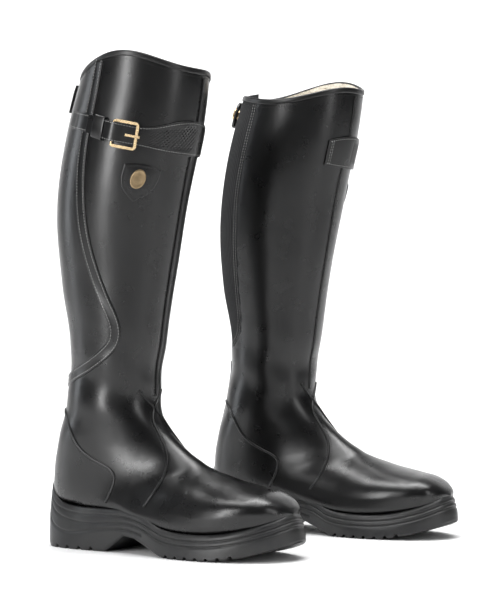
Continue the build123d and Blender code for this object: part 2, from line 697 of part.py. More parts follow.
# --- Badge ---
badge_place = leg_plane(BADGE_Z, BADGE_ANGLE)
patch_top = boot_form(-PATCH_THICK)
with BuildPart() as badge_patch:
    add(patch_top)
    with BuildSketch(badge_place.offset(-12)):
        with Locations(Rotation(0, 0, BADGE_TILT)):
            with BuildLine():
                Spline(*PATCH_OUTLINE[:5])
                Spline(*PATCH_OUTLINE[4:8])
                Spline(*PATCH_OUTLINE[7:], PATCH_OUTLINE[0])
            make_face()
    extrude(amount=24, mode=Mode.INTERSECT)
    add(skin, mode=Mode.SUBTRACT)

with BuildPart() as badge_plate:
    add(boot_form(-PATCH_THICK - PLATE_THICK))
    with BuildSketch(badge_place.offset(-12)):
        with Locations((PLATE_AT)):
            Ellipse(*PLATE_RADII)
    extrude(amount=24, mode=Mode.INTERSECT)
    add(patch_top, mode=Mode.SUBTRACT)

# --- Both boots ---
BOOT = {
    "outsole": outsole, "insole_board": insole_board, "shank": shank, "footbed": footbed,
    "lining": lining, "counter_stiffener": counter_stiffener, "vamp": vamp,
    "heel_counter": heel_counter, "outer_quarter": outer_quarter, "inner_quarter": inner_quarter,
    "calf_panel": calf_panel, "elastic_gusset": elastic_gusset, "backstay": backstay,
    "calf_strip": calf_strip, "top_binding": top_binding, "piping": piping, "zip_tapes": zip_tapes,
    "zip_coils": zip_coils, "zip_slider": zip_slider, "zip_pull": zip_pull, "snap_tab": snap_tab,
    "snap_cap": snap_cap, "snap_stud": snap_stud, "chape_strap": chape_strap,
    "billet_strap": billet_strap, "strap_keeper": strap_keeper, "buckle_frame": buckle_frame,
    "buckle_prong": buckle_prong, "badge_patch": badge_patch, "badge_plate": badge_plate,
}
right_place = Location((*RIGHT_AT, 0))
turn = Location((TURN_CENTRE, 0, 0)) * Location((0, 0, 0), (0, 0, LEFT_TURN)) * Location((-TURN_CENTRE, 0, 0))
left_place = Location((RIGHT_AT[0] + LEFT_STEP[0], RIGHT_AT[1] + LEFT_STEP[1], 0)) * turn

for name, piece in BOOT.items():
    with BuildPart() as right_piece:
        add(piece.part.moved(right_place))
    right_piece.part.label = f"right_{name}"
    export_step(right_piece.part, f"parts/right_{name}.step")
    with BuildPart() as left_piece:
        add(piece.part.mirror(Plane.XZ).moved(left_place))
    left_piece.part.label = f"left_{name}"
    export_step(left_piece.part, f"parts/left_{name}.step")
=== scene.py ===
"""Looks for a pair of tall black leather riding boots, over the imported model's frame."""

from math import cos, pi, radians, sin

import bmesh
import bpy
import numpy as np
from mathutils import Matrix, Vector
from mathutils.bvhtree import BVHTree


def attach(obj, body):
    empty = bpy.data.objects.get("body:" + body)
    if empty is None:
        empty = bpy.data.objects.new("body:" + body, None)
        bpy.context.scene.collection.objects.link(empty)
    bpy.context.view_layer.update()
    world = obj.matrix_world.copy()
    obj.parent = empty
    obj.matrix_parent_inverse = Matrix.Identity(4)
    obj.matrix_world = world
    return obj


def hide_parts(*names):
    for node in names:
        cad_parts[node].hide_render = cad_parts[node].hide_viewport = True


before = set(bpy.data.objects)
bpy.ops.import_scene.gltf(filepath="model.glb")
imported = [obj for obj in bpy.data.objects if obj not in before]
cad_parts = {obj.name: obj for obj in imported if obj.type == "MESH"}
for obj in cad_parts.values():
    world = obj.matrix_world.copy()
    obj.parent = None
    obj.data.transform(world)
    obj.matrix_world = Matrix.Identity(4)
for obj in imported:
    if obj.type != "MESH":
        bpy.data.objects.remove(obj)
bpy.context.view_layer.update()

# ============================== The boot's shape ==============================
# Stations of the outer leather in the right boot's own frame, in millimetres, from
# the top of the leg round the heel to the toe, and a smooth surface through them.

MM = 0.001
ZIP_R = 420.0
ZIP_X, ZIP_Z = 432.0, 290.0
RIGHT_AT = (-157.0, -110.5)
LEFT_STEP = (42.0, 221.0)
LEFT_TURN = radians(4.0)
TURN_CENTRE = 70.0
SIDES = ("right", "left")


def back_x(z):
    """X of the leg's back line at height z."""
    return ZIP_X - np.sqrt(ZIP_R**2 - (z - ZIP_Z) ** 2)


# back or underside X, Z; front or upper side X, Z; half widths outside and inside;
# where it is widest; roundness of its back and front halves
STATIONS = np.array([
    (back_x(480), 480, 167, 480, 57, 57, 0.5, 2.05, 2.05),
    (back_x(432), 432, 163, 432, 57.5, 57.5, 0.5, 2.05, 2.05),
    (back_x(397), 397, 157, 397, 59, 59, 0.5, 2.05, 2.05),
    (back_x(352), 352, 146, 352, 59, 59, 0.5, 2.05, 2.05),
    (back_x(306), 306, 136, 306, 56, 56, 0.5, 2.05, 2.05),
    (back_x(249), 249, 126, 249, 48, 48, 0.53, 1.95, 2.1),
    (back_x(192), 192, 117, 192, 42.5, 42.5, 0.55, 1.95, 2.1),
    (22, 160, 112, 160, 40, 40, 0.55, 1.95, 2.1),
    (17, 130, 112.5, 136, 40, 40, 0.53, 2.0, 2.1),
    (9, 100, 121, 120, 39, 39, 0.48, 2.1, 2.0),
    (3.5, 72, 134.5, 105.5, 37, 37, 0.45, 2.2, 1.9),
    (6, 45, 149, 94, 36, 37, 0.42, 2.4, 1.9),
    (35, 38, 164.5, 84.5, 36, 38, 0.38, 2.8, 1.9),
    (85, 36, 178, 78, 39, 39, 0.36, 3.0, 1.9),
    (125, 28, 192, 73.5, 45, 42, 0.34, 3.2, 2.0),
    (158, 22, 206, 69.5, 48.5, 46, 0.34, 3.2, 2.0),
    (187, 21, 219, 66.5, 49, 46.5, 0.34, 3.2, 2.1),
    (212, 23, 232, 63.5, 46, 44, 0.36, 3.2, 2.2),
    (236, 27, 246, 60, 38.5, 38, 0.38, 3.0, 2.3),
    (252, 31, 256, 54, 28, 29, 0.42, 2.7, 2.4),
    (261, 36, 262.5, 47.5, 15, 16, 0.46, 2.4, 2.4),
    (265, 42, 265, 42, 0.01, 0.01, 0.5, 2.2, 2.2),
])
LAST = len(STATIONS) - 1
TOE = LAST - 0.06
FOOT_START, SIDE_STAND = 12.0, 0.7  # from this station on, the leather stands up straighter at the sole


def stations_at(u):
    """Smoothly interpolated stations at an array of places u along the boot."""
    u = np.clip(np.asarray(u, float), 0, LAST - 1e-6)
    i = np.floor(u).astype(int)
    t = (u - i)[..., None]
    padded = np.vstack([2 * STATIONS[0] - STATIONS[1], STATIONS, 2 * STATIONS[-1] - STATIONS[-2]])
    p0, p1, p2, p3 = (padded[i + k] for k in range(4))

    def chord(a, b):
        step = np.hypot(b[..., 0] - a[..., 0], b[..., 1] - a[..., 1])
        return (step + np.hypot(b[..., 2] - a[..., 2], b[..., 3] - a[..., 3]))[..., None] + 1e-9

    d0, d1, d2 = chord(p0, p1), chord(p1, p2), chord(p2, p3)
    m1 = ((p1 - p0) / d0 - (p2 - p0) / (d0 + d1) + (p2 - p1) / d1) * d1
    m2 = ((p2 - p1) / d1 - (p3 - p1) / (d1 + d2) + (p3 - p2) / d2) * d1
    return ((2 * t**3 - 3 * t**2 + 1) * p1 + (t**3 - 2 * t**2 + t) * m1
            + (3 * t**2 - 2 * t**3) * p2 + (t**3 - t**2) * m2)


def skin(u, v):
    """Points on the leather at places u along the boot and angles v round it, 0 at the front."""
    row = stations_at(u)
    c, s = np.cos(v), np.sin(v)
    upright = 1 + SIDE_STAND * np.clip((u - FOOT_START) / 1.5, 0, 1) * np.clip(TOE - u, 0, 1)
    n = np.where(c >= 0, row[..., 8], row[..., 7] * upright)
    reach = np.abs(c) ** (2 / n)
    t = np.where(c >= 0, row[..., 6] + (1 - row[..., 6]) * reach, row[..., 6] * (1 - reach))
    y = np.where(s >= 0, row[..., 5], -row[..., 4]) * np.abs(s) ** (2 / n)
    x = row[..., 0] + (row[..., 2] - row[..., 0]) * t
    z = row[..., 1] + (row[..., 3] - row[..., 1]) * t
    return np.stack([x, y, z], -1)


def skin_normal(u, v):
    """Unit normals out of the leather there."""
    u, v = np.broadcast_arrays(np.asarray(u, float), np.asarray(v, float))
    du = skin(np.minimum(u + 0.03, TOE), v) - skin(np.maximum(u - 0.03, 0), v)
    dv = skin(u, v + 0.03) - skin(u, v - 0.03)
    normal = np.cross(du, dv)
    return normal / (np.linalg.norm(normal, axis=-1, keepdims=True) + 1e-12)


def laid(u, v, out=0.0):
    """Points standing out from the leather."""
    return skin(u, v) + skin_normal(u, v) * np.asarray(out)[..., None]


# Lookup from a place seen from the side (X, Z) to the surface
LOOK_U, LOOK_V = np.meshgrid(np.linspace(0, TOE, 700), np.linspace(0.02, pi - 0.02, 160), indexing="ij")
LOOK = {1: skin(LOOK_U, LOOK_V), -1: skin(LOOK_U, -LOOK_V)}


def on_side(x, z, side):
    """(u, v) of the leather where it is seen at X, Z; side is 1 for the inside of the leg, -1 outside."""
    grid = LOOK[side]
    i = np.argmin((grid[..., 0] - x) ** 2 + (grid[..., 2] - z) ** 2)
    u, v = LOOK_U.flat[i], LOOK_V.flat[i] * side
    for _ in range(6):
        here = skin(u, v)
        error = np.array([x - here[0], z - here[2]])
        step_u, step_v = (skin(u + 0.01, v) - here) / 0.01, (skin(u, v + 0.01) - here) / 0.01
        jacobian = np.array([[step_u[0], step_v[0]], [step_u[2], step_v[2]]])
        if abs(np.linalg.det(jacobian)) < 1.0:
            break
        du, dv = np.linalg.solve(jacobian, error)
        u, v = u + np.clip(du, -0.2, 0.2), v + np.clip(dv, -0.1, 0.1)
    return u, v


def smooth_line(points, step):
    """A smooth curve through points, sampled about every step."""
    p = np.asarray(points, float)
    p = np.vstack([2 * p[0] - p[1], p, 2 * p[-1] - p[-2]])
    out = []
    for i in range(1, len(p) - 2):
        n = max(2, int(np.linalg.norm(p[i + 1] - p[i]) / step))
        t = np.arange(n)[:, None] / n
        a, b, c, d = p[i - 1], p[i], p[i + 1], p[i + 2]
        curved = (2 * a - 5 * b + 4 * c - d) * t**2 + (3 * b - a - 3 * c + d) * t**3
        out.append(0.5 * (2 * b + (c - a) * t + curved))
    out.append(p[-2:-1])
    return np.vstack(out)


def side_path(line, side, step=3.0):
    """(u, v) arrays that follow a line seen from the side."""
    found = np.array([on_side(x, z, side) for x, z in smooth_line(line, step)])
    return found[:, 0], found[:, 1]


def u_at_height(z):
    """Place along the boot of a height on the upper leg."""
    us = np.linspace(0, 6, 241)
    return np.interp(-np.asarray(z, float), -stations_at(us)[:, 1], us)


# ============================== Placing and meshing ==============================
# Everything is shaped for the right boot and placed twice: the left one is its mirror
# image, turned out a little.

def placed(points, side):
    """Row-frame metres of points in a boot's own frame."""
    p = np.array(points, float).reshape(-1, 3)
    if side == "left":
        x, y = p[:, 0] - TURN_CENTRE, -p[:, 1]
        turned_x = x * cos(LEFT_TURN) - y * sin(LEFT_TURN) + TURN_CENTRE
        turned_y = x * sin(LEFT_TURN) + y * cos(LEFT_TURN)
        p = np.stack([turned_x + LEFT_STEP[0], turned_y + LEFT_STEP[1], p[:, 2]], -1)
    return (p + (*RIGHT_AT, 0)) * MM


def mesh_piece(name, side, points, faces, material, stands_for=()):
    """One smooth mesh piece of one boot, riding on the boot."""
    mesh = bpy.data.meshes.new(f"{side}_{name}")
    mesh.from_pydata(placed(points, side).tolist(), [], [tuple(f) for f in faces])
    if side == "left":
        mesh.flip_normals()
    mesh.validate()
    piece = bpy.data.objects.new(f"{side}_{name}", mesh)
    bpy.context.scene.collection.objects.link(piece)
    mesh.materials.append(material)
    mesh.shade_smooth()
    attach(piece, f"{side}_boot")
    if stands_for:
        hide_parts(*[f"{side}_{node}" for node in stands_for])
    return piece


def grid_faces(rows, columns, wrap=False, start=0):
    """Quads of a grid of points laid out row by row."""
    faces = []
    last = columns if wrap else columns - 1
    for i in range(rows - 1):
        for j in range(last):
            a, b = start + i * columns + j, start + i * columns + (j + 1) % columns
            faces.append((a, b, b + columns, a + columns))
    return faces


def slab(grid, normals, low, high):
    """Points and faces of a closed sheet with a rounded edge, between two heights over a grid of points."""
    rows, columns = grid.shape[:2]
    top, bottom = grid + normals * high, grid + normals * low
    points = np.vstack([top.reshape(-1, 3), bottom.reshape(-1, 3)])
    count = rows * columns
    faces = [f[::-1] for f in grid_faces(rows, columns)] + grid_faces(rows, columns, start=count)
    rim = ([(0, j) for j in range(columns)] + [(i, columns - 1) for i in range(1, rows)]
           + [(rows - 1, j) for j in range(columns - 2, -1, -1)] + [(i, 0) for i in range(rows - 2, 0, -1)])
    ids = [i * columns + j for i, j in rim]
    for a, b in zip(ids, ids[1:] + ids[:1]):
        faces.append((a, b, b + count, a + count))
    return points, faces


def band(path, normals, profile):
    """A strip along a path: profile gives (across, up) points of its section."""
    tangent = np.gradient(path, axis=0)
    tangent /= np.linalg.norm(tangent, axis=1, keepdims=True) + 1e-12
    across = np.cross(tangent, normals)
    across /= np.linalg.norm(across, axis=1, keepdims=True) + 1e-12
    rows = [path + across * a + normals * b for a, b in profile]
    points = np.stack(rows, 1).reshape(-1, 3)
    return points, grid_faces(len(path), len(profile))


def closed_band(path, normals, profile):
    """As band, with a section that closes on itself and capped ends."""
    points, _ = band(path, normals, profile)
    n, m = len(path), len(profile)
    faces = grid_faces(n, m, wrap=True)
    faces.append(tuple(range(m))[::-1])
    faces.append(tuple((n - 1) * m + j for j in range(m)))
    return points, faces


def bevel(piece, width, segments=2, angle=40):
    """Rounds a piece's sharp edges; width in millimetres."""
    modifier = piece.modifiers.new("rounding", "BEVEL")
    modifier.width = width * MM
    modifier.segments = segments
    modifier.limit_method = "ANGLE"
    modifier.angle_limit = radians(angle)
    modifier.harden_normals = False


def recalc(piece):
    """Turns all faces of a closed piece outwards."""
    work = bmesh.new()
    work.from_mesh(piece.data)
    bmesh.ops.recalc_face_normals(work, faces=work.faces)
    work.to_mesh(piece.data)
    work.free()


# ============================== Materials ==============================

def nodes_of(name):
    """A new material with its principled shader."""
    material = bpy.data.materials.new(name)
    material.use_nodes = True
    tree = material.node_tree
    return material, tree, tree.nodes["Principled BSDF"]


def noise(tree, scale, detail):
    """Noise over the object's own coordinates, in metres."""
    place = tree.nodes.new("ShaderNodeTexCoord")
    texture = tree.nodes.new("ShaderNodeTexNoise")
    texture.inputs["Scale"].default_value = scale
    texture.inputs["Detail"].default_value = detail
    tree.links.new(place.outputs["Object"], texture.inputs["Vector"])
    return texture.outputs["Fac"]


def cells(tree, scale):
    """Distance to the edges of small cells, for leather grain."""
    place = tree.nodes.new("ShaderNodeTexCoord")
    texture = tree.nodes.new("ShaderNodeTexVoronoi")
    texture.feature = "DISTANCE_TO_EDGE"
    texture.inputs["Scale"].default_value = scale
    tree.links.new(place.outputs["Object"], texture.inputs["Vector"])
    return texture.outputs["Distance"]


def ramp(tree, value, low, high, at=(0.0, 1.0)):
    """Blends two colours by a value."""
    node = tree.nodes.new("ShaderNodeValToRGB")
    node.color_ramp.elements[0].position, node.color_ramp.elements[1].position = at
    node.color_ramp.elements[0].color = (*low, 1)
    node.color_ramp.elements[1].color = (*high, 1)
    tree.links.new(value, node.inputs["Fac"])
    return node.outputs["Color"]


def spread(tree, value, low, high):
    """Maps a value from 0..1 to low..high."""
    node = tree.nodes.new("ShaderNodeMapRange")
    node.inputs["To Min"].default_value = low
    node.inputs["To Max"].default_value = high
    tree.links.new(value, node.inputs["Value"])
    return node.outputs["Result"]


def bump(tree, shader, *layers):
    """Bumps from (value, distance in metres) pairs, one over the other."""
    below = None
    for value, distance in layers:
        node = tree.nodes.new("ShaderNodeBump")
        node.inputs["Distance"].default_value = distance
        node.inputs["Strength"].default_value = 1.0
        tree.links.new(value, node.inputs["Height"])
        if below is not None:
            tree.links.new(below, node.inputs["Normal"])
        below = node.outputs["Normal"]
    tree.links.new(below, shader.inputs["Normal"])


def black_leather(name, base, rough, grain=1.0):
    """Smooth polished leather: fine grain, faint cloudiness and broad soft gloss."""
    material, tree, shader = nodes_of(name)
    cloud = noise(tree, 18, 4)
    low = (base, base * 0.97, base * 1.02)
    high = (base * 1.9, base * 1.85, base * 1.9)
    tree.links.new(ramp(tree, cloud, low, high, (0.3, 0.75)), shader.inputs["Base Color"])
    tree.links.new(spread(tree, noise(tree, 55, 5), *rough), shader.inputs["Roughness"])
    bump(tree, shader, (noise(tree, 26, 2), 0.0005 * grain), (cells(tree, 900), 0.00005 * grain),
         (noise(tree, 2600, 2), 0.00003 * grain))
    shader.inputs["Specular IOR Level"].default_value = 0.45
    shader.inputs["Coat Weight"].default_value = 0.12
    shader.inputs["Coat Roughness"].default_value = 0.22
    return material


def sole_rubber():
    """Satin moulded rubber, dusty in its low places."""
    material, tree, shader = nodes_of("sole_rubber")
    dust = noise(tree, 40, 6)
    tree.links.new(ramp(tree, dust, (0.008, 0.008, 0.009), (0.02, 0.02, 0.019), (0.35, 0.8)),
                   shader.inputs["Base Color"])
    tree.links.new(spread(tree, noise(tree, 70, 4), 0.34, 0.5), shader.inputs["Roughness"])
    bump(tree, shader, (noise(tree, 1800, 3), 0.00008))
    return material


def cream_pile():
    """Curly cream fleece."""
    material, tree, shader = nodes_of("cream_pile")
    tuft = noise(tree, 260, 5)
    tree.links.new(ramp(tree, tuft, (0.60, 0.53, 0.42), (0.86, 0.79, 0.66), (0.3, 0.62)),
                   shader.inputs["Base Color"])
    shader.inputs["Roughness"].default_value = 0.95
    shader.inputs["Sheen Weight"].default_value = 0.5
    shader.inputs["Sheen Roughness"].default_value = 0.5
    bump(tree, shader, (tuft, 0.004), (noise(tree, 1300, 3), 0.0008))
    return material


def plain(name, colour, rough, metal=0.0, wear=0.15, scale=120):
    """A simple finish with slight unevenness."""
    material, tree, shader = nodes_of(name)
    value = noise(tree, scale, 4)
    darker = tuple(c * (1 - wear) for c in colour)
    tree.links.new(ramp(tree, value, darker, colour, (0.35, 0.65)), shader.inputs["Base Color"])
    tree.links.new(spread(tree, noise(tree, scale * 2.3, 4), rough * 0.8, rough * 1.25),
                   shader.inputs["Roughness"])
    shader.inputs["Metallic"].default_value = metal
    bump(tree, shader, (noise(tree, scale * 9, 2), 0.00003))
    return material


LEATHER = black_leather("black_leather", base=0.003, rough=(0.22, 0.36))
TRIM = black_leather("trim_leather", base=0.003, rough=(0.32, 0.48), grain=0.6)
RUBBER = sole_rubber()
PILE = cream_pile()
BRASS = plain("pale_brass", (0.70, 0.53, 0.31), 0.26, metal=1.0)
OLD_BRASS = plain("aged_brass", (0.42, 0.31, 0.18), 0.4, metal=1.0, wear=0.4)
BLACK_METAL = plain("black_metal", (0.03, 0.03, 0.032), 0.35, metal=0.6)
THREAD = plain("grey_thread", (0.36, 0.36, 0.35), 0.75, wear=0.3, scale=900)
DARK_THREAD = plain("black_thread", (0.012, 0.012, 0.012), 0.6, wear=0.3, scale=900)
ELASTIC = plain("black_elastic", (0.014, 0.014, 0.015), 0.7, wear=0.4, scale=1500)
TAPE = plain("zip_tape", (0.013, 0.013, 0.014), 0.8, wear=0.4, scale=1600)
TEETH = plain("zip_teeth", (0.02, 0.02, 0.021), 0.38)
BOARD = plain("fibre_board", (0.30, 0.22, 0.15), 0.85, wear=0.3, scale=400)
STEEL = plain("spring_steel", (0.45, 0.45, 0.46), 0.35, metal=1.0)

# ============================== Upper, lining and binding ==============================
# One fine grid over the whole leather, shared out between its panels along their seams;
# the zip's slot is left open down the back, and the lining follows inside.

TOP_HEIGHT, TOP_MIDDLE_X = 444.5, 101
TOP_RISE = 0.03  # towards the front
TOP_ARCH, TOP_LIFT, TOP_HALF = 12, 3, 55  # heights of the arch's two terms, half width of the leg
SLOT_HALF = 7.0
ZIP_BOTTOM = 186.0
LEG_END = 9  # stations before this one belong to the leg, which the zip opens
LINING_EDGE, LINING_DEEP = 1.9, 6.6  # depth of the fleece under the leather, at its top and below
RIB_COUNT, RIB_DEPTH = 60, 0.8

VAMP_LINE = [(108, 150), (112, 137), (118, 122), (126, 110), (134, 99), (140, 88), (142, 77),
             (141, 66), (137, 55), (130, 45), (122, 32), (116, 14)]
COUNTER_LINE = [(-4, 143), (10, 138), (24, 131), (36, 120), (51, 99), (61, 90), (73, 83.5),
                (84, 78.5), (90, 73.5), (91.5, 67), (89, 57), (83, 46), (77, 36), (72, 14)]
STRIP_LINE = [(94, 475), (88, 445), (82, 415), (76, 388), (72, 362), (70, 335), (70, 310), (73, 285),
              (79, 260), (87, 236), (94, 217), (95.5, 204), (92, 193), (82, 183), (66, 173),
              (44, 164), (25, 157)]
GUSSET_LINE = [(84, 475), (79, 450), (76, 425), (71, 404), (64, 375), (57.5, 343), (54, 311),
               (52, 280), (51.5, 244), (52, 214), (47, 198), (36, 187), (26, 181)]


def over_top(points):
    """Height of points over the boot's top line, which rises in an arch on the outside of the leg."""
    x, y, z = points[..., 0], points[..., 1], points[..., 2]
    outside = -y / TOP_HALF
    return z - TOP_HEIGHT - TOP_RISE * (x - TOP_MIDDLE_X) - TOP_ARCH * outside**3 - TOP_LIFT * outside**2


def top_u(v, raised=0.0):
    """Where the leg meets the top line, raised along the leg, at angles v."""
    us = np.linspace(0, 3, 181)
    result = []
    for angle in np.atleast_1d(v):
        height = over_top(skin(us, np.full_like(us, angle)))
        result.append(np.interp(-raised, -height, us))
    return np.array(result)


def slot_angle(u):
    """Half the angle that the zip's slot takes out of the back at u."""
    row = stations_at(u)
    angle = np.arcsin(np.clip((SLOT_HALF / row[..., 5]) ** (row[..., 7] / 2), 0, 1))
    return np.where((row[..., 1] > ZIP_BOTTOM) & (np.asarray(u) < LEG_END), angle, 0.0)


def upper_grid(top_raise=0.0, around=200, along=300, last=TOE):
    """(u, v) arrays over the leather, from the top line to the toe."""
    share = np.linspace(0, 1, along)
    v_even = np.linspace(-pi, pi, around + 1)
    start = top_u(v_even, top_raise)
    u = start[None, :] + (last - start[None, :]) * share[:, None]
    v = v_even[None, :] * (1 - slot_angle(u) / pi)
    return u, v


def side_of_line(x, z, line):
    """Distance from a line seen from the side, positive on its left, looking along it."""
    points = smooth_line(line, 6.0)
    best = np.full(x.shape, 1e9)
    sign = np.ones(x.shape)
    for (x0, z0), (x1, z1) in zip(points, points[1:]):
        dx, dz = x1 - x0, z1 - z0
        t = np.clip(((x - x0) * dx + (z - z0) * dz) / (dx * dx + dz * dz + 1e-9), 0, 1)
        far = np.hypot(x - x0 - t * dx, z - z0 - t * dz)
        closer = far < best
        best = np.where(closer, far, best)
        sign = np.where(closer, np.sign(dx * (z - z0) - dz * (x - x0)), sign)
    return best * sign


def creases(points):
    """Soft folds of worn leather round the ankle and over the instep, in millimetres."""
    x, y, z = points[..., 0], points[..., 1], points[..., 2]
    ankle = np.exp(-((z - 150) / 42) ** 2)
    folds = 0.6 * np.sin(0.13 * z + 0.06 * x + 1.3 * np.sin(0.035 * y)) * ankle
    bend = np.exp(-((x - 168) / 16) ** 2) * np.exp(-((z - 78) / 22) ** 2)
    folds += 0.1 * np.sin(0.4 * x + 0.08 * y) * bend
    calf = np.exp(-((z - 300) / 90) ** 2) * 0.5 * np.sin(0.045 * z + 0.05 * y + 0.6)
    return folds + calf


u_grid, v_grid = upper_grid()
flat_points = skin(u_grid, v_grid)
upper_points = flat_points + skin_normal(u_grid, v_grid) * creases(flat_points)[..., None]
mid = (upper_points[:-1, :-1] + upper_points[1:, 1:]) / 2
mid_x, mid_y, mid_z = mid[..., 0], mid[..., 1], mid[..., 2]
in_vamp = (side_of_line(mid_x, mid_z, VAMP_LINE) > 0) & (mid_z < 150)
in_counter = (side_of_line(mid_x, mid_z, COUNTER_LINE) < 0) & (mid_z < 143)
behind_strip = (side_of_line(mid_x, mid_z, STRIP_LINE) < 0) & (mid_z > 157)
behind_gusset = (side_of_line(mid_x, mid_z, GUSSET_LINE) < 0) & (mid_z > 176)
panel_of = np.full(mid_x.shape, 0)
panel_of[mid_y >= 0] = 1
panel_of[behind_strip & (mid_y < 0)] = 2
panel_of[behind_gusset & (mid_y >= 0)] = 3
panel_of[in_vamp] = 4
panel_of[in_counter] = 5
PANELS = (("outer_quarter", 0), ("inner_quarter", 1), ("calf_panel", 2), ("vamp", 4), ("heel_counter", 5))


def panel_mesh(points, chosen):
    """Points and faces of the chosen cells of a grid."""
    rows, columns = points.shape[:2]
    ids = -np.ones(rows * columns, int)
    faces = []
    for i, j in np.argwhere(chosen):
        a = i * columns + j
        faces.append((a, a + columns, a + columns + 1, a + 1))
    used = np.unique(np.array(faces))
    ids[used] = np.arange(len(used))
    return points.reshape(-1, 3)[used], [tuple(ids[list(f)]) for f in faces]


def weld(piece, distance=1e-5):
    """Joins doubled points, such as the seam where a grid closes."""
    work = bmesh.new()
    work.from_mesh(piece.data)
    bmesh.ops.remove_doubles(work, verts=work.verts, dist=distance)
    work.to_mesh(piece.data)
    work.free()


def make_upper(side):
    """The leather panels, and the edges turned in down both sides of the zip's slot."""
    for name, number in PANELS:
        points, faces = panel_mesh(upper_points, panel_of == number)
        piece = mesh_piece(name, side, points, faces, LEATHER, stands_for=(name,))
        weld(piece)
    for which, edge in (("outer", 0), ("inner", -1)):
        rows = (flat_points[:, edge, 2] > ZIP_BOTTOM) & (u_grid[:, edge] < LEG_END)
        u, v = u_grid[rows, edge], v_grid[rows, edge]
        turned = np.stack([laid(u, v, out) for out in (0.0, -0.35, -1.2, -2.3)], 1)
        points, faces = turned.reshape(-1, 3), grid_faces(len(u), 4)
        if edge == 0:
            faces = [f[::-1] for f in faces]
        mesh_piece(f"slot_edge_{which}", side, points, faces, TRIM)


def make_lining(side):
    """Fleece inside the whole boot."""
    u, v = upper_grid(1.6, 160, 220, last=19.0)
    tufts = 0.5 * np.sin(u * 31) * np.sin(v * 23) + 0.35 * np.sin(u * 67 + v * 41)
    below = np.minimum(u - u[:1], 0.35) / 0.35
    depth = LINING_EDGE + (LINING_DEEP - LINING_EDGE) * np.sin(below * pi / 2)
    points = laid(u, v, tufts * below - depth)
    faces = grid_faces(*u.shape)
    mesh_piece("lining", side, points.reshape(-1, 3), faces, PILE, stands_for=("lining",))


def make_gusset(side):
    """Ribbed elastic: fine upright ribs in a recessed panel, with a plain sewn edge."""
    u, v = upper_grid(0.0, 1, 320, last=7.6)
    front = np.interp(u[:, 1], *gusset_front)
    columns = 150
    share = np.linspace(0, 1, columns)
    back = v[:, 1]
    angles = front[:, None] + (back - front)[:, None] * share[None, :]
    keep = back - front > 0.05
    rows = np.repeat(u[:, 1:2], columns, 1)[keep]
    angles = angles[keep]
    ribs = RIB_DEPTH * np.abs(np.sin(angles * RIB_COUNT)) ** 0.6
    points = laid(rows, angles, -1.1 + ribs)
    faces = [f[::-1] for f in grid_faces(*rows.shape)]
    mesh_piece("elastic_gusset", side, points.reshape(-1, 3), faces, ELASTIC,
               stands_for=("elastic_gusset",))


GUSSET_TUCK = 0.01  # how far the elastic reaches under the leather's edge, in radians
gusset_u, gusset_v = side_path(GUSSET_LINE, 1)
order = np.argsort(gusset_u)
gusset_front = (gusset_u[order], gusset_v[order] - GUSSET_TUCK)

# (out from the leather, up along the leg) round the binding
BINDING_SECTION = [(0.2, -3.2), (0.8, -3.0), (1.0, -2.2), (1.0, 0.4), (0.7, 1.6), (-0.2, 2.3), (-1.3, 2.3),
                   (-2.2, 1.6), (-2.4, 0.4), (-2.4, -1.5)]


def make_binding(side):
    """Leather binding over the top edge."""
    v = np.linspace(-pi, pi, 161)
    u = top_u(v)
    v = v * (1 - slot_angle(u) / pi)
    path, out = skin(u, v), skin_normal(u, v)
    along = skin(u - 0.05, v) - skin(u + 0.05, v)
    along /= np.linalg.norm(along, axis=1, keepdims=True)
    rows = [path + out * a + along * b for a, b in BINDING_SECTION]
    points = np.stack(rows, 1).reshape(-1, 3)
    faces = grid_faces(len(v), len(rows))
    piece = mesh_piece("top_binding", side, points, faces, TRIM, stands_for=("top_binding",))
    recalc(piece)


# ============================== Strip, piping and stitches ==============================
# Overlaid strip with its two rows of stitches, corded piping along the seams, and the
# stitch rows, which one Geometry Nodes group sets along any path.

STRIP_SECTION = [(-5.4, -0.8), (-5.35, 0.7), (-4.9, 1.2), (-4.0, 1.35), (-2.9, 1.1), (0.0, 1.3), (2.9, 1.1),
                 (4.0, 1.35), (4.9, 1.2), (5.35, 0.7), (5.4, -0.8)]
PIPING_SECTION = [(1.25 * cos(a), 0.3 + 1.15 * sin(a)) for a in np.linspace(0, 2 * pi, 12, endpoint=False)]
SHIN_SEAM, SHIN_END = 0.1, 7.62  # angle from the front, towards the inside, and its last station
SEAM_STITCH = 2.9  # from the piping to its stitches


